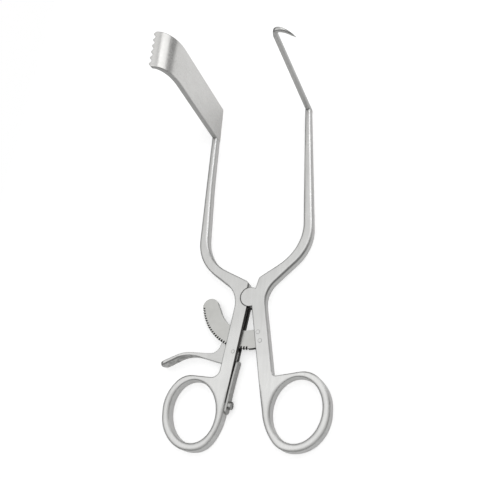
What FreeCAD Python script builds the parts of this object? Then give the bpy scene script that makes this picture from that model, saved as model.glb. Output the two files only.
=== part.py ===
import FreeCAD, Part
import math
import os
from FreeCAD import Vector

# Self-retaining retractor, millimetres. The origin lies on the pivot axis in the plane of the flat back,
# +Y runs along the instrument to the blade, +X to the prong, +Z up out of the front face.

# frame halves
thickness = 5.2            # through the joint, shanks and rings
inner_offset = 0.3         # shank's inner face to the middle line, level with the pivot
inner_slope = 0.16         # how fast that face leaves the middle line
waist_half_width = 5.97    # shank's outer corner beside the joint
waist_y = 2.3
waist_radius = 12.0
notch_half_width = 11.85   # shank's outer face where the ring begins
notch_y = -35.4
blade_notch_radius = 3.6
prong_notch_radius = 2.0

# lap joint: each half keeps a round disc of half the thickness
lap_radius = 4.35
lap_gap = 0.04             # between the two lap faces
rim_gap = 0.1              # round the discs

# finger rings
ring_x = 22.33
ring_y = -48.92
hole_length = 25.8
hole_width = 21.0
ring_lean = 8.3            # degrees, top outwards
rim_width = 3.15

# arms
arm_taper_start = 25.0     # beyond this the front face falls away towards the tips
arm_taper_radius = 4000.0
blade_arm_end = 89.2
blade_arm_inner_x = 24.4
blade_arm_outer_x = 27.1
prong_arm_end = 97.0
prong_arm_inner_x = 21.65
prong_arm_outer_x = 24.35

# edge roundings
arm_edge = 0.8
shank_edge = 0.45
ring_edge = 0.95

# pivot screw, countersunk from the back
screw_radius = 1.6
screw_head_radius = 2.7
screw_head_sink = 0.1      # below the back face
screw_cover = 0.8          # metal left in front of the screw
screw_clearance = 0.05
screw_slot_width = 0.7
screw_slot_depth = 0.55
screw_slot_turn = 60.0

# ratchet, an arc about the pivot
ratchet_tip_radius = 22.9
ratchet_width = 8.0
ratchet_end_width = 7.4
ratchet_shoulder = 200.0   # degrees, where the bar begins to narrow towards its free end
ratchet_thickness = 2.0
ratchet_free_end = 188.1   # degrees anticlockwise from +X
ratchet_root_end = 290.0
pocket_start = 272.0       # in front of the prong-side shank's inner face
tooth_depth = 0.8
tooth_pitch = 3.2          # degrees
gap_count = 26
first_gap = 188.8          # middle of the first gap
steep_side = -1.15         # the four corners of a gap, degrees from its middle
steep_foot = -0.95
ramp_foot = -0.1
ramp_side = 1.15
rivet_radius = 0.8
rivet_angle = 286.0
rivet_inset = 2.0          # from the bar's two rims

# slot through the blade-side shank
slot_side_gap = 0.1        # between a cheek and the ratchet or lever
slot_start = 4.8           # down the shank's inner face
slot_room = 2.2            # beyond the lever's tail

# release lever
pawl_gap_number = 18       # the gap that the pawl sits in
pawl_foot_gap = 0.25       # pawl's tip above the gap's floor
lever_rim_gap = 0.25       # lever's top edge outside the teeth
pin_radius = 0.75
pin_clearance = 0.04
pin_beyond_teeth = 2.13
pin_angle = 256.1
tail_start = 3.8           # below the pin, down the shank
tail_length = 1.3
tab_back = 0.1             # above the flat back
tab_width = 6.3
tab_length = 33.2          # from the pin to the tab's end

# leaf spring, measured down the shank's inner face and off it
spring_screw_spot = 46.9
spring_foot = 3.8          # beyond its screw
spring_seat = 3.4          # bears on the shank this far before its screw
spring_lift = 0.56         # free end's distance off the shank
spring_over_tail = 0.3     # free end beyond the lever's tail
spring_thickness = 0.8
spring_width = 3.8
spring_land_gap = 0.03
spring_screw_radius = 0.8
spring_hole_clearance = 0.1
spring_screw_depth = 3.2
spring_head_radius = 1.7
spring_head_height = 1.5
spring_head_edge = 0.25
spring_slot_width = 0.5
spring_slot_turn = 35.0

# blade
blade_height = 61.8
blade_step = 0.15          # blade's inner face beyond its arm's
blade_width = 20.5
blade_root_thickness = 2.7
blade_thickness = 2.5      # where the lip begins
blade_lip_reach = 9.0      # the lip curls over in a quarter of an oval
blade_lip_rise = 15.0
blade_lip_thickness = 1.7
blade_edge = 0.3
blade_heel = 1.0           # rounding of the lower far corner
blade_tooth_pitch = 3.5
blade_tooth_depth = 1.4
blade_tooth_count = 6
blade_tooth_round = 0.45

# prong
prong_root_width = 2.6
prong_tip_width = 0.15
prong_straight = 55.1      # height of the straight part
prong_lean = 0.3
prong_heel = 2.0

middle = thickness / 2
lean = math.atan(inner_slope)
ratchet_inner_radius = ratchet_tip_radius - ratchet_width


def polar(radius, degrees):
    angle = math.radians(degrees)
    return Vector(radius * math.cos(angle), radius * math.sin(angle), 0)


def line(a, b):
    return Part.LineSegment(a, b).toShape()


def arc(a, crown, b):
    return Part.Arc(a, crown, b).toShape()


def rounded_outline(corners):
    """closed wire of straight runs joined by tangent arcs; a corner is x, y, radius"""
    points = [Vector(x, y, 0) for x, y, radius in corners]
    count = len(points)
    turns = []
    for i, point in enumerate(points):
        radius = corners[i][2]
        if radius == 0:
            turns.append((point, None, point))
            continue
        back = (points[i - 1] - point).normalize()
        ahead = (points[(i + 1) % count] - point).normalize()
        half = back.getAngle(ahead) / 2
        reach = radius / math.tan(half)
        crown = point + (back + ahead).normalize() * (radius / math.sin(half) - radius)
        turns.append((point + back * reach, crown, point + ahead * reach))
    edges = []
    for i, (first, crown, last) in enumerate(turns):
        if crown is not None:
            edges.append(arc(first, crown, last))
        following = turns[(i + 1) % count][0]
        if (following - last).Length > 1e-4:
            edges.append(line(last, following))
    return Part.Wire(edges)


def slab(wire, low, high):
    solid = Part.Face(wire).extrude(Vector(0, 0, high - low))
    solid.translate(Vector(0, 0, low))
    return solid


def post(radius, low, high, spot=Vector(0, 0, 0)):
    return Part.makeCylinder(radius, high - low, Vector(spot.x, spot.y, low))


def drill(radius, spot=Vector(0, 0, 0)):
    """a through hole across the frame"""
    return post(radius, -1, thickness + 1, spot)


def edge_middle(edge):
    return edge.valueAt((edge.FirstParameter + edge.LastParameter) / 2)


def round_edges(solid, radius_of):
    """one fillet whose radius changes from edge to edge; edges with no radius blend between the others"""
    document = FreeCAD.newDocument("rounding")
    base = document.addObject("Part::Feature", "base")
    base.Shape = solid
    fillet = document.addObject("Part::Fillet", "fillet")
    fillet.Base = base
    chosen = []
    for number, edge in enumerate(solid.Edges, 1):
        radius = radius_of(edge)
        if radius:
            chosen.append((number, radius, radius))
    fillet.Edges = chosen
    document.recompute()
    rounded = fillet.Shape.copy()
    FreeCAD.closeDocument(document.Name)
    return rounded.Solids[0]


def inner_x(y):
    """distance of the shank's inner face from the middle line"""
    return inner_offset + inner_slope * abs(y)


def wall_point(along, off, z=0.0):
    """a place by its distance down the blade-side shank's inner face and its distance off that face"""
    x = -inner_offset - along * math.sin(lean) + off * math.cos(lean)
    y = -along * math.cos(lean) - off * math.sin(lean)
    return Vector(x, y, z)


wall_normal = wall_point(0, 1) - wall_point(0, 0)
pin_spot = polar(ratchet_tip_radius + pin_beyond_teeth, pin_angle)
pin_along = (pin_spot - wall_point(0, 0)).dot(wall_point(1, 0) - wall_point(0, 0))
slot_end = pin_along + tail_start + tail_length + slot_room
spring_top = pin_along + tail_start - spring_over_tail


def turned_to_wall(shape):
    """turns what was drawn along the Y axis to run down the shank's inner face"""
    shape.rotate(Vector(0, 0, 0), Vector(0, 0, 1), -math.degrees(lean))
    return shape


def ring_corner(across, along, radius):
    """a corner of the ring's outside in shares of its half width and half length"""
    x = ring_x + across * (hole_width / 2 + rim_width)
    y = ring_y + along * (hole_length / 2 + rim_width)
    return (x, y, radius)


# the ring's outside, from the shank over the top and round to the inner face
ring_corners = [
    ring_corner(0.445, 0.985, 9.3),
    ring_corner(1.035, 0.43, 15.3),
    ring_corner(0.998, -0.472, 16.0),
    ring_corner(0.35, -1.005, 13.8),
    ring_corner(-0.464, -1.005, 10.0),
    ring_corner(-0.952, -0.472, 23.0),
]
ring_blend_y = notch_y - 2.6

blade_arm_outer = [(blade_arm_outer_x, blade_arm_end, 0), (blade_arm_outer_x + 0.15, 19.4, 23.0)]
blade_arm_inner = [
    (1.6, 3.5, 0),
    (1.3, 7.3, 1.9),
    (blade_arm_inner_x - 1.4, 19.6, 22.0),
    (blade_arm_inner_x - 0.05, 60.0, 300.0),
    (blade_arm_inner_x, blade_arm_end, 0),
]
prong_arm_outer = [(prong_arm_outer_x, prong_arm_end, 0), (prong_arm_outer_x + 3.15, 21.9, 22.0)]
prong_arm_inner = [
    (2.1, 3.5, 0),
    (3.6, 8.9, 1.5),
    (prong_arm_inner_x + 1.55, 21.2, 22.0),
    (prong_arm_inner_x, prong_arm_end, 0),
]


def half_outline(arm_outer, arm_inner, notch_radius):
    """one half seen from the front, drawn on the +X side"""
    shank = [(waist_half_width, waist_y, waist_radius), (notch_half_width, notch_y, notch_radius)]
    inner_face = [(inner_x(ring_blend_y), ring_blend_y, 0), (inner_x(3), -3, 0)]
    return rounded_outline(arm_outer + shank + ring_corners + inner_face + arm_inner)


def front_height(y):
    return thickness - max(0.0, y - arm_taper_start) ** 2 / (2 * arm_taper_radius)


def side_profile():
    """the flat back and the front face that falls away along the arms"""
    far = prong_arm_end + 10
    near = 2 * ring_y
    mid = (far + arm_taper_start) / 2
    back = [Vector(0, near, 0), Vector(0, far, 0)]
    front = [Vector(0, far, front_height(far)), Vector(0, arm_taper_start, thickness), Vector(0, near, thickness)]
    edges = [
        line(back[0], back[1]),
        line(back[1], front[0]),
        arc(front[0], Vector(0, mid, front_height(mid)), front[1]),
        line(front[1], front[2]),
        line(front[2], back[0]),
    ]
    return Part.Face(Part.Wire(edges)).extrude(Vector(2 * ring_x + hole_width, 0, 0))


def finger_hole():
    oval = Part.Ellipse(Vector(0, 0, 0), hole_length / 2, hole_width / 2).toShape()
    hole = Part.Face(Part.Wire([oval])).extrude(Vector(0, 0, thickness + 2))
    hole.rotate(Vector(0, 0, 0), Vector(0, 0, 1), 90 - ring_lean)
    hole.translate(Vector(ring_x, ring_y, -1))
    return hole


def frame_edge_radius(edge, arm_end):
    """arms, shanks and rings are rounded differently and blend into each other"""
    if edge.BoundBox.ZLength > thickness / 2:
        return None
    spot = edge_middle(edge)
    off_inner_face = abs(spot.x - inner_x(spot.y))
    if spot.y > arm_end - 0.1:
        return None
    if spot.y > 19:
        return arm_edge
    if spot.y < ring_blend_y and off_inner_face > 0.3:
        return ring_edge
    on_outer_shank = notch_y + 2.4 < spot.y < -12 and spot.x > inner_x(spot.y) + 3
    on_inner_shank = notch_y - 0.6 < spot.y < -4 and off_inner_face < 0.3
    above_joint = 4 < spot.y < 7 and spot.x < 4
    if on_outer_shank or on_inner_shank or above_joint:
        return shank_edge
    return None


def plain_half(arm_outer, arm_inner, notch_radius, arm_end):
    plate = slab(half_outline(arm_outer, arm_inner, notch_radius), 0, thickness)
    body = plate.common(side_profile()).cut(finger_hole()).Solids[0]
    return round_edges(body, lambda edge: frame_edge_radius(edge, arm_end))


def screw_profile(low, head, shaft):
    cone_end = screw_head_sink + screw_head_radius - screw_radius
    end = thickness - screw_cover
    points = [
        Vector(0, 0, low),
        Vector(head, 0, low),
        Vector(head, 0, screw_head_sink),
        Vector(shaft, 0, cone_end),
        Vector(shaft, 0, end),
        Vector(0, 0, end),
    ]
    if low == screw_head_sink:
        del points[2]
    face = Part.Face(Part.makePolygon(points + [points[0]]))
    return face.revolve(Vector(0, 0, 0), Vector(0, 0, 1), 360)


def pivot_hole():
    return screw_profile(-1.0, screw_head_radius + screw_clearance, screw_radius + screw_clearance)


def shank_slot():
    """a milled slot with round ends, square to the shank's inner face"""
    half = ratchet_thickness / 2 + slot_side_gap
    depth = 2 * notch_half_width
    low = middle - half
    high = middle + half
    top = -slot_start - half
    bottom = -slot_end + half
    edges = [
        line(Vector(0, top, low), Vector(0, bottom, low)),
        arc(Vector(0, bottom, low), Vector(0, -slot_end, middle), Vector(0, bottom, high)),
        line(Vector(0, bottom, high), Vector(0, top, high)),
        arc(Vector(0, top, high), Vector(0, -slot_start, middle), Vector(0, top, low)),
    ]
    slot = Part.Face(Part.Wire(edges)).extrude(Vector(depth, 0, 0))
    slot.translate(Vector(1.5 - depth, 0, 0))
    slot = turned_to_wall(slot)
    slot.translate(wall_point(0, 0))
    return slot


def spring_screw_shaft(extra_length):
    foot = wall_point(spring_screw_spot, -spring_screw_depth, middle)
    return Part.makeCylinder(spring_screw_radius, spring_screw_depth + extra_length, foot, wall_normal)


def blade_side_half():
    half = plain_half(blade_arm_outer, blade_arm_inner, blade_notch_radius, blade_arm_end)
    half = half.mirror(Vector(0, 0, 0), Vector(1, 0, 0))
    lap_top = middle - lap_gap / 2
    half = half.cut(post(lap_radius + rim_gap, lap_top, thickness + 1))
    half = half.fuse(post(lap_radius, 0, lap_top))
    half = half.cut(pivot_hole())
    half = half.cut(shank_slot())
    half = half.cut(drill(pin_radius, pin_spot))
    half = half.cut(spring_screw_shaft(1.0))
    return half.removeSplitter()


def ratchet_sector(outer_radius, start, end):
    """a plate of the ratchet's thickness, bounded by two arcs about the pivot"""
    crown = (start + end) / 2
    edges = [
        arc(polar(outer_radius, start), polar(outer_radius, crown), polar(outer_radius, end)),
        line(polar(outer_radius, end), polar(ratchet_inner_radius, end)),
        arc(polar(ratchet_inner_radius, end), polar(ratchet_inner_radius, crown), polar(ratchet_inner_radius, start)),
        line(polar(ratchet_inner_radius, start), polar(outer_radius, start)),
    ]
    return slab(Part.Wire(edges), middle - ratchet_thickness / 2, middle + ratchet_thickness / 2)


def rivet_posts():
    spots = [ratchet_inner_radius + rivet_inset, ratchet_tip_radius - rivet_inset]
    return [post(rivet_radius, 0, thickness, polar(radius, rivet_angle)) for radius in spots]


def prong_side_half():
    half = plain_half(prong_arm_outer, prong_arm_inner, prong_notch_radius, prong_arm_end)
    lap_bottom = middle + lap_gap / 2
    half = half.cut(post(lap_radius + rim_gap, -1, lap_bottom))
    half = half.fuse(post(lap_radius, lap_bottom, thickness))
    half = half.cut(post(screw_radius, 0, thickness - screw_cover))
    half = half.cut(ratchet_sector(ratchet_tip_radius, pocket_start, ratchet_root_end))
    for rivet in rivet_posts():
        half = half.cut(rivet)
    return half.removeSplitter()


def pivot_screw():
    screw = screw_profile(screw_head_sink, screw_head_radius, screw_radius)
    length = 3 * screw_head_radius
    slot = Part.makeBox(length, screw_slot_width, 2 * screw_slot_depth)
    slot.translate(Vector(-length / 2, -screw_slot_width / 2, screw_head_sink - screw_slot_depth))
    slot.rotate(Vector(0, 0, 0), Vector(0, 0, 1), screw_slot_turn)
    return screw.cut(slot)


def ratchet_bar():
    """a curved bar with one round end and saw teeth on its outer rim, which let it run out and hold it back"""
    root_radius = ratchet_tip_radius - tooth_depth
    end_radius = ratchet_end_width / 2
    end_middle = polar(ratchet_tip_radius - end_radius, ratchet_free_end)
    end_crown = end_middle + polar(end_radius, ratchet_free_end - 90)
    end_outer = polar(ratchet_tip_radius, ratchet_free_end)
    end_inner = polar(ratchet_tip_radius - ratchet_end_width, ratchet_free_end)
    rim = [end_outer]
    for number in range(gap_count):
        gap = first_gap + number * tooth_pitch
        start = max(gap + steep_side, ratchet_free_end + 0.05)
        rim.append(polar(ratchet_tip_radius, start))
        rim.append(polar(root_radius, max(gap + steep_foot, start + 0.05)))
        rim.append(polar(root_radius, gap + ramp_foot))
        rim.append(polar(ratchet_tip_radius, gap + ramp_side))
    last_angle = first_gap + (gap_count - 1) * tooth_pitch + ramp_side
    edges = [line(a, b) for a, b in zip(rim, rim[1:])]
    outer_crown = polar(ratchet_tip_radius, (last_angle + ratchet_root_end) / 2)
    inner_crown = polar(ratchet_inner_radius, (ratchet_shoulder + ratchet_root_end) / 2)
    shoulder = polar(ratchet_inner_radius, ratchet_shoulder)
    narrowing = (ratchet_width - ratchet_end_width) / 4
    neck = polar(ratchet_inner_radius + narrowing, (ratchet_free_end + ratchet_shoulder) / 2)
    root_outer = polar(ratchet_tip_radius, ratchet_root_end)
    root_inner = polar(ratchet_inner_radius, ratchet_root_end)
    edges.append(arc(rim[-1], outer_crown, root_outer))
    edges.append(line(root_outer, root_inner))
    edges.append(arc(root_inner, inner_crown, shoulder))
    edges.append(arc(shoulder, neck, end_inner))
    edges.append(arc(end_inner, end_crown, end_outer))
    bar = slab(Part.Wire(edges), middle - ratchet_thickness / 2, middle + ratchet_thickness / 2)
    for rivet in rivet_posts():
        bar = bar.cut(rivet)
    return bar


def ratchet_rivets():
    return Part.makeCompound(rivet_posts())


def spring_rise(along):
    """how far the resting spring's near face, a gentle arc, stands off the shank"""
    seat = spring_screw_spot - spring_seat
    span = seat - spring_top
    radius = (span ** 2 + spring_lift ** 2) / (2 * spring_lift)
    return radius - math.sqrt(radius ** 2 - max(0.0, seat - along) ** 2)


def lever_outline():
    """pawl, boss round the pin, tail that the spring presses, and thumb tab"""
    gap = first_gap + pawl_gap_number * tooth_pitch
    tip = ratchet_tip_radius - tooth_depth + pawl_foot_gap
    rim = ratchet_tip_radius + lever_rim_gap
    pawl = [polar(rim, gap - 0.75), polar(tip, gap - 0.3), polar(tip, gap - 0.05), polar(rim, gap + 1.2)]
    rim_left = polar(rim, gap - 7.8)
    rim_middle = polar(rim + 0.12, gap - 4.0)
    rim_right = polar(rim, pin_angle - 3.0)
    boss_corner = wall_point(pin_along - 1.3, -0.3)
    boss_low = wall_point(pin_along + 2.0, -0.3)
    tail = [pin_along + tail_start, pin_along + tail_start + tail_length]
    tail_points = [wall_point(along, spring_rise(along) - spring_land_gap) for along in tail]
    tail_neck = wall_point(tail[0] - 0.9, -0.35)
    heel = wall_point(tail[1] + 0.6, -0.5)
    corners = [(point.x, point.y, 0) for point in pawl]
    corners += [
        (rim_right.x, rim_right.y, 0.6),
        (boss_corner.x, boss_corner.y, 1.2),
        (boss_low.x, boss_low.y, 0.6),
        (tail_neck.x, tail_neck.y, 0.4),
        (tail_points[0].x, tail_points[0].y, 0.3),
        (tail_points[1].x, tail_points[1].y, 0.3),
        (heel.x, heel.y, 0.4),
    ]
    # the tab, measured from the pin
    tab = [
        (-5.0, -4.6, 6.0),
        (-20.9, 0.35, 15.0),
        (0.65 - tab_length, -4.75, 0.5),
        (-tab_length, -3.55, 0.5),
        (-22.0, 0.7, 14.0),
        (-7.8, -0.1, 4.5),
    ]
    corners += [(pin_spot.x + x, pin_spot.y + y, radius) for x, y, radius in tab]
    corners += [(rim_left.x, rim_left.y, 0.3), (rim_middle.x, rim_middle.y, 0)]
    return rounded_outline(corners)


def tab_profile():
    """the lever seen from its edge: a plate that widens into a rounded paddle"""
    half_plate = ratchet_thickness / 2
    tab_front = tab_back + tab_width
    end_radius = 0.46 * tab_width
    plate_end = pin_spot.x - 0.38 * tab_length
    full = pin_spot.x - 0.78 * tab_length
    end = pin_spot.x - tab_length - 0.5
    low = middle - half_plate
    high = middle + half_plate
    corners = [
        (ratchet_width, low, 0),
        (ratchet_width, high, 0),
        (plate_end, high, 8.0),
        (full, tab_front, 8.0),
        (end, tab_front, end_radius),
        (end, tab_back, end_radius),
        (full, tab_back, 8.0),
        (plate_end, low, 8.0),
    ]
    profile = Part.Face(rounded_outline(corners))
    profile.rotate(Vector(0, 0, 0), Vector(1, 0, 0), 90)
    return profile.extrude(Vector(0, 3 * pin_spot.y, 0))


def release_lever():
    plate = slab(lever_outline(), -1, thickness + 1)
    lever = plate.common(tab_profile())
    return lever.cut(drill(pin_radius + pin_clearance, pin_spot)).Solids[0]


def lever_pin():
    return post(pin_radius, 0, thickness, pin_spot)


def leaf_spring():
    """a bowed strip, seated at its screw and standing off the shank at its free end"""
    foot_end = spring_screw_spot + spring_foot
    seat = spring_screw_spot - spring_seat
    halfway = (seat + spring_top) / 2
    outward = wall_normal * spring_thickness
    near = [wall_point(foot_end, 0), wall_point(seat, 0)]
    near_crown = wall_point(halfway, spring_rise(halfway))
    near_end = wall_point(spring_top, spring_rise(spring_top))
    edges = [
        line(near[0], near[1]),
        arc(near[1], near_crown, near_end),
        line(near_end, near_end + outward),
        arc(near_end + outward, near_crown + outward, near[1] + outward),
        line(near[1] + outward, near[0] + outward),
        line(near[0] + outward, near[0]),
    ]
    half = spring_width / 2
    strip = slab(Part.Wire(edges), middle - half, middle + half)
    blank_wire = rounded_outline([
        (middle - half, -spring_top, half * 0.6),
        (middle + half, -spring_top, half * 0.6),
        (middle + half, -foot_end, half * 0.95),
        (middle - half, -foot_end, half * 0.95),
    ])
    blank = slab(blank_wire, -spring_width, spring_width)
    blank.rotate(Vector(0, 0, 0), Vector(0, 1, 0), -90)
    blank = turned_to_wall(blank)
    blank.translate(wall_point(0, 0))
    strip = strip.common(blank)
    hole_foot = wall_point(spring_screw_spot, -1, middle)
    hole_radius = spring_screw_radius + spring_hole_clearance
    return strip.cut(Part.makeCylinder(hole_radius, spring_thickness + 2, hole_foot, wall_normal)).Solids[0]


def spring_screw():
    seat = wall_point(spring_screw_spot, spring_thickness, middle)
    head = Part.makeCylinder(spring_head_radius, spring_head_height, seat, wall_normal)
    rim = [edge for edge in head.Edges if edge.Closed and (edge.CenterOfMass - seat).Length > spring_head_height / 2]
    head = head.makeFillet(spring_head_edge, rim)
    length = 3 * spring_head_radius
    slot = Part.makeBox(spring_head_height, length, spring_slot_width)
    slot.translate(Vector(spring_head_height * 0.55, -length / 2, -spring_slot_width / 2))
    slot.rotate(Vector(0, 0, 0), Vector(1, 0, 0), spring_slot_turn)
    slot = turned_to_wall(slot)
    slot.translate(seat)
    return spring_screw_shaft(spring_thickness).fuse(head).cut(slot).removeSplitter()


def oval_corner(centre, across, up):
    """a quarter of an oval, from above its centre round to its +X side"""
    oval = Part.Ellipse(centre + Vector(0, 0, up), centre + Vector(across, 0, 0), centre)
    return Part.ArcOfEllipse(oval, 0, math.pi / 2).toShape()


def blade_profile(inner_face_x):
    """the blade seen along its width: a flat leaf whose end curls over to the outside"""
    centre = Vector(inner_face_x - blade_lip_reach, 0, blade_height - blade_lip_rise)
    hollow_reach = blade_lip_reach - blade_thickness
    hollow_rise = blade_lip_rise - blade_lip_thickness
    root = Vector(inner_face_x, 0, 0)
    root_outer = Vector(inner_face_x - blade_root_thickness, 0, 0)
    edges = [
        line(root_outer, root),
        line(root, centre + Vector(blade_lip_reach, 0, 0)),
        oval_corner(centre, blade_lip_reach, blade_lip_rise),
        line(centre + Vector(0, 0, blade_lip_rise), centre + Vector(0, 0, hollow_rise)),
        oval_corner(centre, hollow_reach, hollow_rise),
        line(centre + Vector(hollow_reach, 0, 0), root_outer),
    ]
    return Part.Face(Part.Wire(edges))


def standing_block(near, far, height, heel):
    """a block from y near to y far whose lower far corner is rounded"""
    side = Part.Face(rounded_outline([(near, 0, 0), (far, 0, heel), (far, height, 0), (near, height, 0)]))
    side.rotate(Vector(0, 0, 0), Vector(1, 1, 1), 120)
    reach = blade_arm_outer_x + blade_lip_reach
    side.translate(Vector(-reach, 0, 0))
    return side.extrude(Vector(2 * reach, 0, 0))


def tooth_gaps(edge_x, centre_y):
    """what is cut from an edge that faces -X to leave a row of rounded teeth"""
    half_pitch = blade_tooth_pitch / 2
    flank = math.hypot(half_pitch, blade_tooth_depth)
    over_tip = blade_tooth_round * (flank / half_pitch - 1)
    outside_x = edge_x - blade_tooth_pitch
    first_y = centre_y - blade_tooth_count * half_pitch
    last_y = centre_y + blade_tooth_count * half_pitch
    valley_x = edge_x + blade_tooth_depth
    corners = [(outside_x, first_y, 0), (valley_x, first_y, 0)]
    for number in range(blade_tooth_count):
        tip_y = first_y + (2 * number + 1) * half_pitch
        corners.append((edge_x - over_tip, tip_y, blade_tooth_round))
        corners.append((valley_x, tip_y + half_pitch, blade_tooth_round / 2))
    corners[-1] = (valley_x, last_y, 0)
    corners.append((outside_x, last_y, 0))
    return slab(rounded_outline(corners), blade_height - blade_lip_rise, blade_height + 1)


def retractor_blade():
    inner_face_x = -(blade_arm_inner_x - blade_step)
    lip_x = inner_face_x - blade_lip_reach
    near = blade_arm_end
    far = blade_arm_end + blade_width
    profile = blade_profile(inner_face_x)
    profile.translate(Vector(0, near, 0))
    blade = profile.extrude(Vector(0, blade_width, 0))
    blade = blade.common(standing_block(near, far, blade_height + 1, blade_heel))

    def side_edge_radius(edge):
        spot = edge_middle(edge)
        on_side = min(abs(spot.y - near), abs(spot.y - far)) < 0.01
        at_lip = abs(spot.x - lip_x) < 0.01
        at_root = spot.z < 0.01
        return blade_edge if on_side and not at_lip and not at_root else None

    blade = round_edges(blade.Solids[0], side_edge_radius)
    return blade.cut(tooth_gaps(lip_x, (near + far) / 2)).Solids[0]


# the hook's middle line from the top of the straight part: x, z, direction in degrees, share of the top's width
hook_stations = [
    (0.0, 0.0, 90.0, 1.0),
    (0.45, 1.7, 55.0, 0.98),
    (1.5, 2.5, 8.0, 0.93),
    (3.0, 2.0, -30.0, 0.82),
    (4.5, 0.8, -46.0, 0.66),
    (5.9, -0.9, -54.0, 0.48),
    (7.1, -2.7, -57.0, 0.27),
]
hook_tip = (8.0, -4.1, -58.0)


def prong_section(x, z, direction, width):
    half = width / 2
    radius = width * 0.3
    corners = [(-half, -half, radius), (half, -half, radius), (half, half, radius), (-half, half, radius)]
    square = rounded_outline(corners)
    square.rotate(Vector(0, 0, 0), Vector(0, 1, 0), 90 - direction)
    square.translate(Vector(x, prong_arm_end + prong_root_width / 2, z))
    return square


def retractor_prong():
    root_x = (prong_arm_inner_x + prong_arm_outer_x) / 2
    top_x = root_x + prong_lean
    top_width = 0.85 * prong_root_width
    root = prong_section(root_x, 0, 90, prong_root_width)
    top = prong_section(top_x, prong_straight, 90, top_width)
    bends = [prong_section(top_x + x, prong_straight + z, turn, share * top_width)
             for x, z, turn, share in hook_stations]
    tip = prong_section(top_x + hook_tip[0], prong_straight + hook_tip[1], hook_tip[2], prong_tip_width)
    shaft = Part.makeLoft([root, top], True, True)
    far = prong_arm_end + prong_root_width
    shaft = shaft.common(standing_block(prong_arm_end - 1, far, prong_straight + 1, prong_heel))
    hook = Part.makeLoft(bends + [tip], True, False)
    return shaft.fuse(hook).removeSplitter()


nodes = {
    "blade_side_half": blade_side_half,
    "prong_side_half": prong_side_half,
    "retractor_blade": retractor_blade,
    "retractor_prong": retractor_prong,
    "pivot_screw": pivot_screw,
    "ratchet_bar": ratchet_bar,
    "ratchet_rivets": ratchet_rivets,
    "release_lever": release_lever,
    "lever_pin": lever_pin,
    "leaf_spring": leaf_spring,
    "spring_screw": spring_screw,
}

os.makedirs("parts", exist_ok=True)
for name, make in nodes.items():
    shape = make()
    print(name, "valid", shape.isValid(), "solids", len(shape.Solids), "volume", round(shape.Volume, 1))
    shape.exportStep("parts/" + name + ".step")
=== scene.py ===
import math
import bpy
import bmesh
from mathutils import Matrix, Quaternion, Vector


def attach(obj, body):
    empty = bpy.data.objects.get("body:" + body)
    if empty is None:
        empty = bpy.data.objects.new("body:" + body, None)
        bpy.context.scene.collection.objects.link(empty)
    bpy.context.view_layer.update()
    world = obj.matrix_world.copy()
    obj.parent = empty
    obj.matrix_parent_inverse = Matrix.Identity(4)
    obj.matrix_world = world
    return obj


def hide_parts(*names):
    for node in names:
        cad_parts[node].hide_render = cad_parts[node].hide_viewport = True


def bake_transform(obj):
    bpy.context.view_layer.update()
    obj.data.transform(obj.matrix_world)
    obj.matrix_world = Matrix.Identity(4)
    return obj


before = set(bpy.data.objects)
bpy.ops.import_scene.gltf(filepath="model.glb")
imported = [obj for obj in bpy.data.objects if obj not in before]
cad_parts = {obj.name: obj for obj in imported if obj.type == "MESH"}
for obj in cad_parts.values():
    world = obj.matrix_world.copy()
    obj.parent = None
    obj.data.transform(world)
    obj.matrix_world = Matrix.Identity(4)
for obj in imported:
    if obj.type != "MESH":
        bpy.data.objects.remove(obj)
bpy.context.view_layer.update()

print("frame loaded:", len(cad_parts), "nodes")

# the photograph's own viewpoint, metres and degrees
viewPoint = {
    "place": (0.09971, -0.10717, 0.25413),
    "target": (-0.00903, 0.03112, 0.0),
    "roll": -39.1,
    "lens": 49.74,
    "sensor": 36.0,
    "clip": (0.01, 20.0),
}


def addCamera():
    data = bpy.data.cameras.new("photoCamera")
    data.lens = viewPoint["lens"]
    data.sensor_width = viewPoint["sensor"]
    data.clip_start, data.clip_end = viewPoint["clip"]
    camera = bpy.data.objects.new("photoCamera", data)
    bpy.context.scene.collection.objects.link(camera)
    place = Vector(viewPoint["place"])
    look = (Vector(viewPoint["target"]) - place).to_track_quat("-Z", "Y")
    camera.rotation_mode = "QUATERNION"
    camera.rotation_quaternion = look @ Quaternion((0, 0, 1), math.radians(viewPoint["roll"]))
    camera.location = place
    bpy.context.scene.camera = camera


addCamera()
print("camera placed")

# the blade-side shank's inner wall, as in the solids: it leaves the middle line at this slope
wall = {
    "lean": math.atan(0.16),
    "offset": 0.0003,
    "springStart": 0.0283,   # along the wall from the joint
    "springEnd": 0.0435,
    "paintedShade": (0.0035, 0.0462),   # painted shade along the wall, from and to
    "paintedShadeSoft": 0.0008,
    "faceSkin": (-0.00042, -0.00030),   # depths between which the painted shade on the wall begins
    "slotSkin": (0.0014, 0.0038),   # heights of the slot's two cheeks
    "slotSoft": 0.0001,
    "slotDepth": (-0.0042, -0.0036),
    "discShade": (0.00460, 0.00475),   # radii between which the painted shade round the disc ends
    "discStrength": 0.85,
}


def wallPoint(along, off, height):
    lean = wall["lean"]
    x = -wall["offset"] - along * math.sin(lean) + off * math.cos(lean)
    y = -along * math.cos(lean) - off * math.sin(lean)
    return Vector((x, y, height))


# finishes: every material is built from these few node makers

def newMaterial(name):
    material = bpy.data.materials.new(name)
    material.use_nodes = True
    return material, material.node_tree, material.node_tree.nodes["Principled BSDF"]


def feed(tree, socket, value):
    # a colour, a number or another node's output
    if isinstance(value, tuple):
        socket.default_value = (*value, 1)
    elif isinstance(value, (int, float)):
        socket.default_value = value
    else:
        tree.links.new(value, socket)


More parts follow.
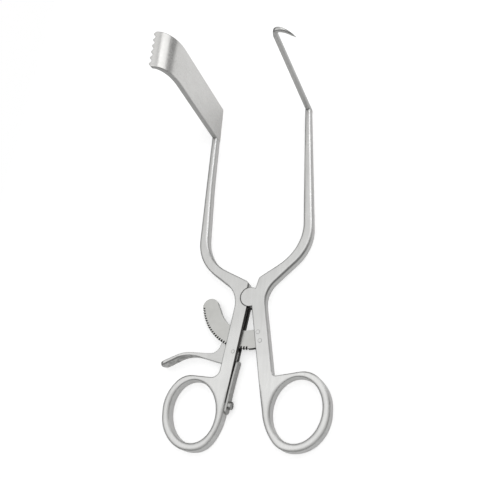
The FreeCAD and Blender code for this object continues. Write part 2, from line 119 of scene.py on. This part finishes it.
def remap(tree, value, low, high, fromLow=0.3, fromHigh=0.7, blending="LINEAR"):
    # from a noise's usual range where no other is given
    ranged = tree.nodes.new("ShaderNodeMapRange")
    ranged.interpolation_type = blending
    ranged.inputs["From Min"].default_value = fromLow
    ranged.inputs["From Max"].default_value = fromHigh
    ranged.inputs["To Min"].default_value = low
    ranged.inputs["To Max"].default_value = high
    tree.links.new(value, ranged.inputs["Value"])
    return ranged.outputs["Result"]


def rising(tree, value, start, full):
    # 0 at the start, 1 at the full value
    return remap(tree, value, 0.0, 1.0, start, full)


def falling(tree, value, start, empty):
    return remap(tree, value, 1.0, 0.0, start, empty)


def arithmetic(tree, operation, first, second=0.0):
    node = tree.nodes.new("ShaderNodeMath")
    node.operation = operation
    feed(tree, node.inputs[0], first)
    feed(tree, node.inputs[1], second)
    return node.outputs["Value"]


def product(tree, first, second):
    return arithmetic(tree, "MULTIPLY", first, second)


def larger(tree, first, second):
    return arithmetic(tree, "MAXIMUM", first, second)


def between(tree, value, low, high, soft):
    # 1 where the value lies between low and high, with a soft border
    return product(tree, rising(tree, value, low - soft, low), falling(tree, value, high, high + soft))


def split(tree, vector):
    parts = tree.nodes.new("ShaderNodeSeparateXYZ")
    tree.links.new(vector, parts.inputs["Vector"])
    return parts.outputs["X"], parts.outputs["Y"], parts.outputs["Z"]


def dot(tree, first, second):
    node = tree.nodes.new("ShaderNodeVectorMath")
    node.operation = "DOT_PRODUCT"
    tree.links.new(first, node.inputs[0])
    if isinstance(second, tuple):
        node.inputs[1].default_value = second
    else:
        tree.links.new(second, node.inputs[1])
    return node.outputs["Value"]


def mixColours(tree, share, first, second):
    mixed = tree.nodes.new("ShaderNodeMix")
    mixed.data_type = "RGBA"
    mixed.clamp_factor = True
    tree.links.new(share, mixed.inputs["Factor"])
    feed(tree, mixed.inputs["A"], first)
    feed(tree, mixed.inputs["B"], second)
    return mixed.outputs["Result"]


def noiseLayer(tree, place, scale, detail=3.0):
    # noise whose grain is drawn out along the axis with the small number
    stretch = tree.nodes.new("ShaderNodeMapping")
    stretch.inputs["Scale"].default_value = scale
    noise = tree.nodes.new("ShaderNodeTexNoise")
    noise.inputs["Scale"].default_value = 1.0
    noise.inputs["Detail"].default_value = detail
    tree.links.new(place, stretch.inputs["Vector"])
    tree.links.new(stretch.outputs["Vector"], noise.inputs["Vector"])
    return noise.outputs["Fac"]


# what all the finishes share
brushed = {
    "streakDetail": 4.0,
    "cloud": (110, 110, 110),
    "cloudDetail": 2.0,
    "streakShare": 0.6,
    "cloudShare": 0.4,
    "grainRoughness": 0.05,   # up and down from the finish's own
    "cloudRoughness": 0.03,
    "edgeShine": 0.08,
    "shadeRoughness": 0.25,
    "bumpDepth": 0.00003,
    "edgeFacing": (0.82, 0.995),   # softened against true normal: on an edge, on a plain face
    "softSamples": 6,
    "steep": (0.3, 0.6),   # height of a face's normal: upright below the first, not above the second
}


def roundedNormal(tree, radius):
    softened = tree.nodes.new("ShaderNodeBevel")
    softened.samples = brushed["softSamples"]
    feed(tree, softened.inputs["Radius"], radius)
    return softened.outputs["Normal"]


def edgeMask(tree, width):
    # near 1 on sharp edges
    surface = tree.nodes.new("ShaderNodeNewGeometry")
    facing = dot(tree, roundedNormal(tree, width), surface.outputs["Normal"])
    return falling(tree, facing, *brushed["edgeFacing"])


def faceNormal(tree):
    surface = tree.nodes.new("ShaderNodeNewGeometry")
    return split(tree, surface.outputs["True Normal"])


def wallShare(tree):
    # 1 on upright faces
    height = arithmetic(tree, "ABSOLUTE", faceNormal(tree)[2])
    return falling(tree, height, *brushed["steep"])


def pivotDistance(tree, place):
    flat = tree.nodes.new("ShaderNodeVectorMath")
    flat.operation = "MULTIPLY"
    flat.inputs[1].default_value = (1, 1, 0)
    tree.links.new(place, flat.inputs[0])
    radius = tree.nodes.new("ShaderNodeVectorMath")
    radius.operation = "LENGTH"
    tree.links.new(flat.outputs["Vector"], radius.inputs[0])
    return radius.outputs["Value"]


# grain and streak: noise scale along each axis, the small number lies along the brushing
satinSteel = {
    "frameSatin": {
        "light": (0.73, 0.73, 0.72), "dark": (0.575, 0.575, 0.565), "roughness": 0.31,
        "grain": (5200, 420, 5200), "streak": (900, 60, 900), "bump": 0.08,
        "edge": 0.00022, "line": 0.46, "forged": True},
    "bladeSatin": {
        "light": (0.75, 0.745, 0.73), "dark": (0.69, 0.685, 0.67), "roughness": 0.27,
        "grain": (5200, 5200, 420), "streak": (900, 900, 60), "bump": 0.06,
        "edge": 0.00024, "line": 0.50, "rounding": 0.00026},
    "prongSatin": {
        "light": (0.56, 0.56, 0.55), "dark": (0.51, 0.51, 0.50), "roughness": 0.30,
        "grain": (5200, 5200, 420), "streak": (900, 900, 60), "bump": 0.06,
        "edge": 0.00024, "line": 0.52, "rounding": 0.00026},
    "ratchetSatin": {
        "light": (0.60, 0.60, 0.58), "dark": (0.55, 0.55, 0.53), "roughness": 0.38,
        "grain": (4200, 4200, 4200), "streak": (500, 500, 500), "bump": 0.08,
        "edge": 0.00018, "line": 0.42, "rounding": 0.00012},
    "leverSatin": {
        "light": (0.63, 0.63, 0.62), "dark": (0.57, 0.57, 0.56), "roughness": 0.32,
        "grain": (420, 5200, 5200), "streak": (70, 900, 900), "bump": 0.08,
        "edge": 0.00020, "line": 0.50, "rounding": 0.0004},
    "fittingSatin": {
        "light": (0.67, 0.67, 0.66), "dark": (0.62, 0.62, 0.61), "roughness": 0.28,
        "grain": (4200, 4200, 4200), "streak": (700, 700, 700), "bump": 0.05,
        "edge": 0.00006, "line": 0.85, "rounding": 0.00010},
    "screwSatin": {
        "light": (0.44, 0.44, 0.43), "dark": (0.36, 0.36, 0.35), "roughness": 0.26,
        "grain": (4200, 4200, 4200), "streak": (700, 700, 700), "bump": 0.05,
        "edge": 0.00018, "line": 0.50, "rounding": 0.00022},
    "springSatin": {
        "light": (0.49, 0.49, 0.48), "dark": (0.42, 0.42, 0.41), "roughness": 0.30,
        "grain": (5200, 420, 5200), "streak": (900, 60, 900), "bump": 0.06,
        "edge": 0.00010, "line": 0.85, "rounding": 0.00010},
}
satinSteel["shadedFrameSatin"] = dict(satinSteel["frameSatin"])   # the same finish on the half with the slot, with painted shade on its inner wall


def wallPaintedShade(tree, place):
    # painted shade on the shank's inner wall, inside its slot and round the joint's disc
    turn = tree.nodes.new("ShaderNodeMapping")
    lean, offset = wall["lean"], wall["offset"]
    turn.inputs["Location"].default_value = (offset * math.cos(lean), offset * math.sin(lean), 0)
    turn.inputs["Rotation"].default_value = (0, 0, lean)
    tree.links.new(place, turn.inputs["Vector"])
    off, down, height = split(tree, turn.outputs["Vector"])
    start, end = wall["paintedShade"]
    along = between(tree, down, -end, -start, wall["paintedShadeSoft"])
    face = rising(tree, off, *wall["faceSkin"])
    inSlot = product(tree, between(tree, height, *wall["slotSkin"], wall["slotSoft"]),
                     rising(tree, off, *wall["slotDepth"]))
    walls = product(tree, along, larger(tree, face, inSlot))
    disc = remap(tree, pivotDistance(tree, place), wall["discStrength"], 0.0, *wall["discShade"])
    return larger(tree, walls, disc)


# painted shade in the ratchet's tooth gaps, in metres and degrees as in the solids
rim = {
    "walls": 0.0220,   # radius beyond which its upright faces get painted shade
    "shadedFeet": 0.0219,   # and beyond which the feet of its gaps get it
    "soft": 0.0001,
    "firstGap": -171.2,
    "lastGap": -91.2,
    "pitch": 3.2,
    "half": (0.20, 0.30),   # pitches from a gap's middle: dark to the first, plain from the second
    "endRoom": 1.0,
    "endSoft": 0.005,   # radians
}


def toothGapShade(tree, place):
    # painted shade at the feet of the gaps, one every pitch round the rim
    across, along = split(tree, place)[:2]
    angle = arithmetic(tree, "ARCTAN2", along, across)
    pitches = arithmetic(tree, "DIVIDE", angle, math.radians(rim["pitch"]))
    phase = arithmetic(tree, "SUBTRACT", pitches, rim["firstGap"] / rim["pitch"] - 0.5)
    offset = arithmetic(tree, "SUBTRACT", arithmetic(tree, "FRACT", phase), 0.5)
    near = falling(tree, arithmetic(tree, "ABSOLUTE", offset), *rim["half"])
    first = math.radians(rim["firstGap"] - rim["endRoom"])
    last = math.radians(rim["lastGap"] + rim["endRoom"])
    return product(tree, near, between(tree, angle, first, last, rim["endSoft"]))


def toothShade(tree, place):
    # painted shade on the rim's upright faces and in its tooth gaps
    distance = pivotDistance(tree, place)
    outer = rising(tree, distance, rim["walls"] - rim["soft"], rim["walls"])
    foot = rising(tree, distance, rim["shadedFeet"] - rim["soft"], rim["shadedFeet"])
    return larger(tree, product(tree, outer, wallShare(tree)), product(tree, foot, toothGapShade(tree, place)))


sideShade = {"facing": (0.90, 0.97)}   # painted shade on the blade's two long edges


def bladeSideShade(tree, place):
    along = arithmetic(tree, "ABSOLUTE", faceNormal(tree)[1])
    return rising(tree, along, *sideShade["facing"])


# painted shade on the lever's walls: a dark line under the front face, and painted reflection in dark spots
# on the thumb tab
leverPaintedShade = {
    "line": (0.0043, 0.0052),   # heights between which the line darkens
    "lineStrength": 0.8,
    "mottle": (800, 800, 500),
    "mottleDetail": 2.0,
    "spots": (0.46, 0.60),
    "spotStrength": 0.55,
    "tabStart": (-0.017, -0.022),
}


def leverShade(tree, place):
    across, height = split(tree, place)[::2]
    line = remap(tree, height, 0.0, leverPaintedShade["lineStrength"], *leverPaintedShade["line"])
    noise = noiseLayer(tree, place, leverPaintedShade["mottle"], leverPaintedShade["mottleDetail"])
    spots = remap(tree, noise, 0.0, leverPaintedShade["spotStrength"], *leverPaintedShade["spots"])
    spots = product(tree, spots, rising(tree, across, *leverPaintedShade["tabStart"]))
    return product(tree, wallShare(tree), larger(tree, line, spots))


# where each finish gets painted shade or painted reflection, and in which tone
paintedShadeParts = {
    "leverSatin": (leverShade, (0.27, 0.27, 0.265)),
    "shadedFrameSatin": (wallPaintedShade, (0.11, 0.107, 0.104)),   # painted shade on the inner wall, in the slot and round the disc
    "ratchetSatin": (toothShade, (0.045, 0.044, 0.043)),
    "bladeSatin": (bladeSideShade, (0.56, 0.56, 0.55)),
}


# the forging is ground flat at the shanks and joint, and stays rounder on the arms and rings
forging = {
    "shankRadius": 0.0005,
    "armRadius": 0.0014,
    "ringRadius": 0.0016,
    "armStart": (0.018, 0.034),   # y where the arms' share begins and is full
    "ringEnd": (-0.042, -0.034),   # y where the rings' share is full and ends
    "upperTone": 0.5,
    "toneStart": (-0.030, -0.006),   # y where the joint's and arms' tone begins and is full
    "grainShare": 0.45,
    "brightSide": (0.80, -0.60, 0),
    "clearShare": (0.35, 0.97),   # of the dark line, taken off edges turned from and to that side
    "clearTurn": (-0.10, 0.25),
    "frontPart": (0.55, 0.75),
    "highlightTone": (0.97, 0.97, 0.965),
    "highlightTurn": (0.12, 0.32),
    "ringEdgeShade": (0.46, 0.46, 0.45),
    "ringShadeTurn": (0.05, 0.16),
    "jointEdge": 0.00040,   # the joint's painted shade lines are wider
    "jointReach": (0.0050, 0.0062),
    "wallStart": (-0.034, -0.028),   # y where the walls' painted shade begins and is full
    "wallLight": (0.74, 0.74, 0.73),
    "wallDark": (0.50, 0.50, 0.49),
    "wallTurn": (0.0030, 0.0042),   # heights between which the light part gives way to the dark
    "bend": (0.002, 0.019),   # y of the arms' bends, whose walls get darker painted shade still
    "bendSoft": 0.010,
    "bendDark": (0.20, 0.20, 0.195),
    "wallFoot": (0.50, 0.50, 0.49),
    "footTurn": (0.0003, 0.0013),
}


def forgedRounding(tree, along):
    arm = remap(tree, along, forging["shankRadius"], forging["armRadius"], *forging["armStart"])
    ring = remap(tree, along, forging["ringRadius"], 0.0, *forging["ringEnd"])
    return larger(tree, arm, ring)


def edgeHighlightAndShade(tree, along, edge, rounded):
    # round edges turned to the bright side lose the painted dark line
    arm = rising(tree, along, *forging["armStart"])
    ring = falling(tree, along, *forging["ringEnd"])
    turned = dot(tree, rounded, forging["brightSide"])
    clear = remap(tree, turned, *forging["clearShare"], *forging["clearTurn"])
    clear = product(tree, clear, larger(tree, arm, ring))
    edge = product(tree, edge, arithmetic(tree, "SUBTRACT", 1.0, clear))
    # a painted highlight lies on their front part on the arms, and painted shade where it rolls away on the
    # rings
    front = rising(tree, split(tree, rounded)[2], *forging["frontPart"])
    edgeHighlight = product(tree, arm, product(tree, front, rising(tree, turned, *forging["highlightTurn"])))
    ringEdgeShade = product(tree, ring, product(tree, front, rising(tree, turned, *forging["ringShadeTurn"])))
    return edge, edgeHighlight, ringEdgeShade


def paintedWallShade(tree, place, body):
    # painted shade and painted reflection: the walls of shanks and arms are darkest just under the front
    # face
    along, height = split(tree, place)[1:]
    share = product(tree, wallShare(tree), rising(tree, along, *forging["wallStart"]))
    bend = between(tree, along, *forging["bend"], forging["bendSoft"])
    dark = mixColours(tree, bend, forging["wallDark"], forging["bendDark"])
    foot = falling(tree, height, *forging["footTurn"])
    light = mixColours(tree, foot, forging["wallLight"], forging["wallFoot"])
    high = rising(tree, height, *forging["wallTurn"])
    return mixColours(tree, share, body, mixColours(tree, high, light, dark))


def forgedTone(tree, along, grainTone):
    # the joint and arms are a little darker than the shanks and rings
    upper = remap(tree, along, 0.0, forging["upperTone"], *forging["toneStart"])
    return arithmetic(tree, "ADD", upper, product(tree, grainTone, forging["grainShare"]))


def makeSteel(name):
    look = satinSteel[name]
    forged = look.get("forged")
    material, tree, shader = newMaterial(name)
    place = tree.nodes.new("ShaderNodeTexCoord").outputs["Object"]
    along = split(tree, place)[1]
    grain = noiseLayer(tree, place, look["grain"])
    streak = noiseLayer(tree, place, look["streak"], brushed["streakDetail"])
    cloud = noiseLayer(tree, place, brushed["cloud"], brushed["cloudDetail"])
    width = look["edge"]
    if forged:
        width = remap(tree, pivotDistance(tree, place), forging["jointEdge"], width, *forging["jointReach"])
        radius = forgedRounding(tree, along)
    else:
        radius = look["rounding"]
    edge = edgeMask(tree, width)
    rounded = roundedNormal(tree, radius)
    # brushed tone: streaks and soft clouds between two greys
    tone = arithmetic(tree, "ADD", remap(tree, streak, 0.0, brushed["streakShare"]),
                      remap(tree, cloud, 0.0, brushed["cloudShare"]))
    if forged:
        edge, edgeHighlight, ringEdgeShade = edgeHighlightAndShade(tree, along, edge, rounded)
        tone = forgedTone(tree, along, tone)
    colour = mixColours(tree, tone, look["light"], look["dark"])
    # painted shade and painted reflection on the walls
    if forged:
        colour = paintedWallShade(tree, place, colour)
    # painted shade: a darker line along the edges
    line = tuple(channel * look["line"] for channel in look["light"])
    colour = mixColours(tree, edge, colour, line)
    # painted highlight on the arms' edges, painted shade on the rings' edges
    if forged:
        colour = mixColours(tree, edgeHighlight, colour, forging["highlightTone"])
        colour = mixColours(tree, ringEdgeShade, colour, forging["ringEdgeShade"])
    middle, swing, drift = look["roughness"], brushed["grainRoughness"], brushed["cloudRoughness"]
    roughness = arithmetic(tree, "ADD", remap(tree, grain, middle - swing, middle + swing),
                           remap(tree, cloud, -drift, drift))
    roughness = arithmetic(tree, "SUBTRACT", roughness, product(tree, edge, brushed["edgeShine"]))
    # painted shade and painted reflection, a little rougher there
    if name in paintedShadeParts:
        shade, shadeTone = paintedShadeParts[name]
        paintedShade = shade(tree, place)
        colour = mixColours(tree, paintedShade, colour, shadeTone)
        roughness = arithmetic(tree, "ADD", roughness, product(tree, paintedShade, brushed["shadeRoughness"]))
    bump = tree.nodes.new("ShaderNodeBump")
    bump.inputs["Strength"].default_value = look["bump"]
    bump.inputs["Distance"].default_value = brushed["bumpDepth"]
    tree.links.new(grain, bump.inputs["Height"])
    tree.links.new(rounded, bump.inputs["Normal"])
    tree.links.new(colour, shader.inputs["Base Color"])
    tree.links.new(roughness, shader.inputs["Roughness"])
    tree.links.new(bump.outputs["Normal"], shader.inputs["Normal"])
    shader.inputs["Metallic"].default_value = 1.0
    return material


finishes = {name: makeSteel(name) for name in satinSteel}
nodeFinish = {
    "blade_side_half": "shadedFrameSatin",
    "prong_side_half": "frameSatin",
    "retractor_blade": "bladeSatin",
    "retractor_prong": "prongSatin",
    "pivot_screw": "fittingSatin",
    "ratchet_bar": "ratchetSatin",
    "ratchet_rivets": "fittingSatin",
    "release_lever": "leverSatin",
    "lever_pin": "fittingSatin",
    "leaf_spring": "springSatin",
    "spring_screw": "screwSatin",
}
for nodeName, finish in nodeFinish.items():
    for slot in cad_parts[nodeName].material_slots:
        slot.material = finishes[finish]
print("finishes on")


# two pieces are dressed copies of their solids: merged, cut across, smoothed but for their sharp edges
copying = {"merge": 0.000001, "sharp": 35.0}   # metres, degrees


def startCopy(nodeName):
    shape = bmesh.new()
    shape.from_mesh(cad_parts[nodeName].data)
    bmesh.ops.remove_doubles(shape, verts=shape.verts, dist=copying["merge"])
    return shape


def cutAcross(shape, geometry, level, direction):
    bmesh.ops.bisect_plane(shape, geom=geometry, dist=copying["merge"], plane_co=level, plane_no=direction)


def addPiece(name, shape, finish):
    mesh = bpy.data.meshes.new(name)
    shape.to_mesh(mesh)
    shape.free()
    for face in mesh.polygons:
        face.use_smooth = True
    mesh.set_sharp_from_angle(angle=math.radians(copying["sharp"]))
    mesh.materials.append(finishes[finish])
    piece = bpy.data.objects.new(name, mesh)
    bpy.context.scene.collection.objects.link(piece)
    return piece


# the leaf spring is copied and cut across into short lengths along the wall
flex = {
    "cut": 0.0006,
    "from": 0.0375,   # along the wall: it starts to bend, and follows the lever in full
    "to": 0.0290,
    "height": 0.0026,
}


def flexSpring():
    shape = startCopy("leaf_spring")
    lengthwise = wallPoint(1, 0, 0) - wallPoint(0, 0, 0)
    cuts = round((wall["springEnd"] - wall["springStart"]) / flex["cut"])
    for index in range(1, cuts):
        everything = list(shape.verts) + list(shape.edges) + list(shape.faces)
        level = wallPoint(wall["springStart"] + index * flex["cut"], 0, 0)
        cutAcross(shape, everything, level, lengthwise)
    spring = addPiece("leafSpringFlex", shape, "springSatin")
    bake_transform(spring)
    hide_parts("leaf_spring")


flexSpring()


# the thumb tab's end is fuller than in the solid: the same lever with a rounder nose
tab = {
    "lowest": 0.0011,   # cuts across the nose
    "highest": 0.0054,
    "cuts": 12,
    "middle": 0.00325,   # height at which the nose is fullest
    "half": 0.0026,   # and how far above and below that it ends
    "bulge": 0.0010,
    "grows": (-0.0345, -0.0382),   # x from which and where the nose has moved out in full
    "along": (-0.926, -0.378, 0),
    "flat": 0.9995,   # height of a flat face's normal
}


def roundLever():
    shape = startCopy("release_lever")
    start, full = tab["grows"]
    for index in range(tab["cuts"]):
        nose = [face for face in shape.faces if min(vert.co.x for vert in face.verts) < start]
        edges = {edge for face in nose for edge in face.edges}
        verts = {vert for face in nose for vert in face.verts}
        height = tab["lowest"] + (tab["highest"] - tab["lowest"]) * index / (tab["cuts"] - 1)
        cutAcross(shape, nose + list(edges) + list(verts), (0, 0, height), (0, 0, 1))
    for vert in shape.verts:
        share = min(1, max(0, (vert.co.x - start) / (full - start)))
        fullness = max(0, 1 - ((vert.co.z - tab["middle"]) / tab["half"]) ** 2)
        vert.co += Vector(tab["along"]) * tab["bulge"] * share * fullness
    lever = addPiece("releaseLeverRound", shape, "leverSatin")
    for face in lever.data.polygons:
        face.use_smooth = abs(face.normal.z) < tab["flat"]   # the plate's two faces stay flat
    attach(lever, "lever")
    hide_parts("release_lever")


roundLever()
print("lever rounded")


studio = {
    "floorReach": (-0.16, -0.15, 0.16, 0.235),   # the pale board: from x, y to x, y
    "floorDrop": 0.0003,
    "floorColour": 0.76,
    "cameraBoost": 0.50,   # glow added for the camera, so that the board shows white
    "mirrorBoost": (0.06, 0.20),   # and where the steel mirrors it, more beyond the blade
    "brightEnd": (0.095, 0.125),   # y between which that grows
    "underBoost": 0.85,   # and where the back mirrors it, which lies on the board
    "underReach": (0.0008, 0.0012),   # lengths of the rays that do so
    "zenith": 1.17,   # brightness of the ceiling and of the room
    "horizon": 0.14,
    "gradient": (0.22, 1.0),   # how steeply a ray rises at the dim and the bright end
}


def seenDirectly(tree, path):
    return larger(tree, path.outputs["Is Camera Ray"], path.outputs["Is Transmission Ray"])


def makeBoard():
    material, tree, shader = newMaterial("paleFloor")
    grey = studio["floorColour"]
    shader.inputs["Base Color"].default_value = (grey, grey, grey, 1)
    shader.inputs["Roughness"].default_value = 1.0
    shader.inputs["Specular IOR Level"].default_value = 0.0
    shader.inputs["Emission Color"].default_value = (1, 1, 1, 1)
    path = tree.nodes.new("ShaderNodeLightPath")
    seen = product(tree, seenDirectly(tree, path), studio["cameraBoost"])
    along = split(tree, tree.nodes.new("ShaderNodeTexCoord").outputs["Object"])[1]
    share = remap(tree, along, *studio["mirrorBoost"], *studio["brightEnd"])
    under = remap(tree, path.outputs["Ray Length"], studio["underBoost"], 0.0, *studio["underReach"])
    mirrored = product(tree, path.outputs["Is Glossy Ray"], larger(tree, share, under))
    tree.links.new(larger(tree, seen, mirrored), shader.inputs["Emission Strength"])
    # from below the board is clear, so that the object's back can be seen
    clear = tree.nodes.new("ShaderNodeBsdfTransparent")
    side = tree.nodes.new("ShaderNodeNewGeometry")
    either = tree.nodes.new("ShaderNodeMixShader")
    tree.links.new(side.outputs["Backfacing"], either.inputs["Fac"])
    tree.links.new(shader.outputs["BSDF"], either.inputs[1])
    tree.links.new(clear.outputs["BSDF"], either.inputs[2])
    tree.links.new(either.outputs["Shader"], tree.nodes["Material Output"].inputs["Surface"])
    return material


def addFloor():
    x0, y0, x1, y1 = studio["floorReach"]
    shape = bmesh.new()
    bmesh.ops.create_grid(shape, x_segments=1, y_segments=1, size=0.5)
    bmesh.ops.scale(shape, vec=(x1 - x0, y1 - y0, 1), verts=shape.verts)
    middle = ((x0 + x1) / 2, (y0 + y1) / 2, -studio["floorDrop"])
    bmesh.ops.translate(shape, vec=middle, verts=shape.verts)
    mesh = bpy.data.meshes.new("floor")
    shape.to_mesh(mesh)
    shape.free()
    mesh.materials.append(makeBoard())
    floor = bpy.data.objects.new("floor", mesh)
    bpy.context.scene.collection.objects.link(floor)


def addWorld():
    # a bright ceiling over a dim room, and plain white for the camera
    world = bpy.data.worlds.new("studio")
    bpy.context.scene.world = world
    world.use_nodes = True
    tree = world.node_tree
    background = tree.nodes["Background"]
    up = split(tree, tree.nodes.new("ShaderNodeTexCoord").outputs["Generated"])[2]
    level = remap(tree, up, studio["horizon"], studio["zenith"], *studio["gradient"], blending="SMOOTHSTEP")
    path = tree.nodes.new("ShaderNodeLightPath")
    tree.links.new(larger(tree, level, seenDirectly(tree, path)), background.inputs["Strength"])
    background.inputs["Color"].default_value = (1, 1, 1, 1)


# soft boxes: place, point they face and size in metres, power in watts
lamps = {
    "lipBox": {"place": (0.340, 0.387, 0.235), "faces": (-0.028, 0.100, 0.059),
               "size": (0.34, 0.28), "power": 0.36},
    "lowBox": {"place": (0.364, 0.407, 0.015), "faces": (-0.028, 0.100, 0.059),
               "size": (0.36, 0.17), "power": 0.034},
}


def addLamps():
    for name, lamp in lamps.items():
        data = bpy.data.lights.new(name, "AREA")
        data.shape = "RECTANGLE"
        data.size, data.size_y = lamp["size"]
        data.energy = lamp["power"]
        light = bpy.data.objects.new(name, data)
        bpy.context.scene.collection.objects.link(light)
        light.location = lamp["place"]
        light.rotation_mode = "QUATERNION"
        light.rotation_quaternion = (Vector(lamp["faces"]) - light.location).to_track_quat("-Z", "Y")


addFloor()
addWorld()
addLamps()
bpy.context.scene.view_settings.view_transform = "Standard"
print("stage and light set")
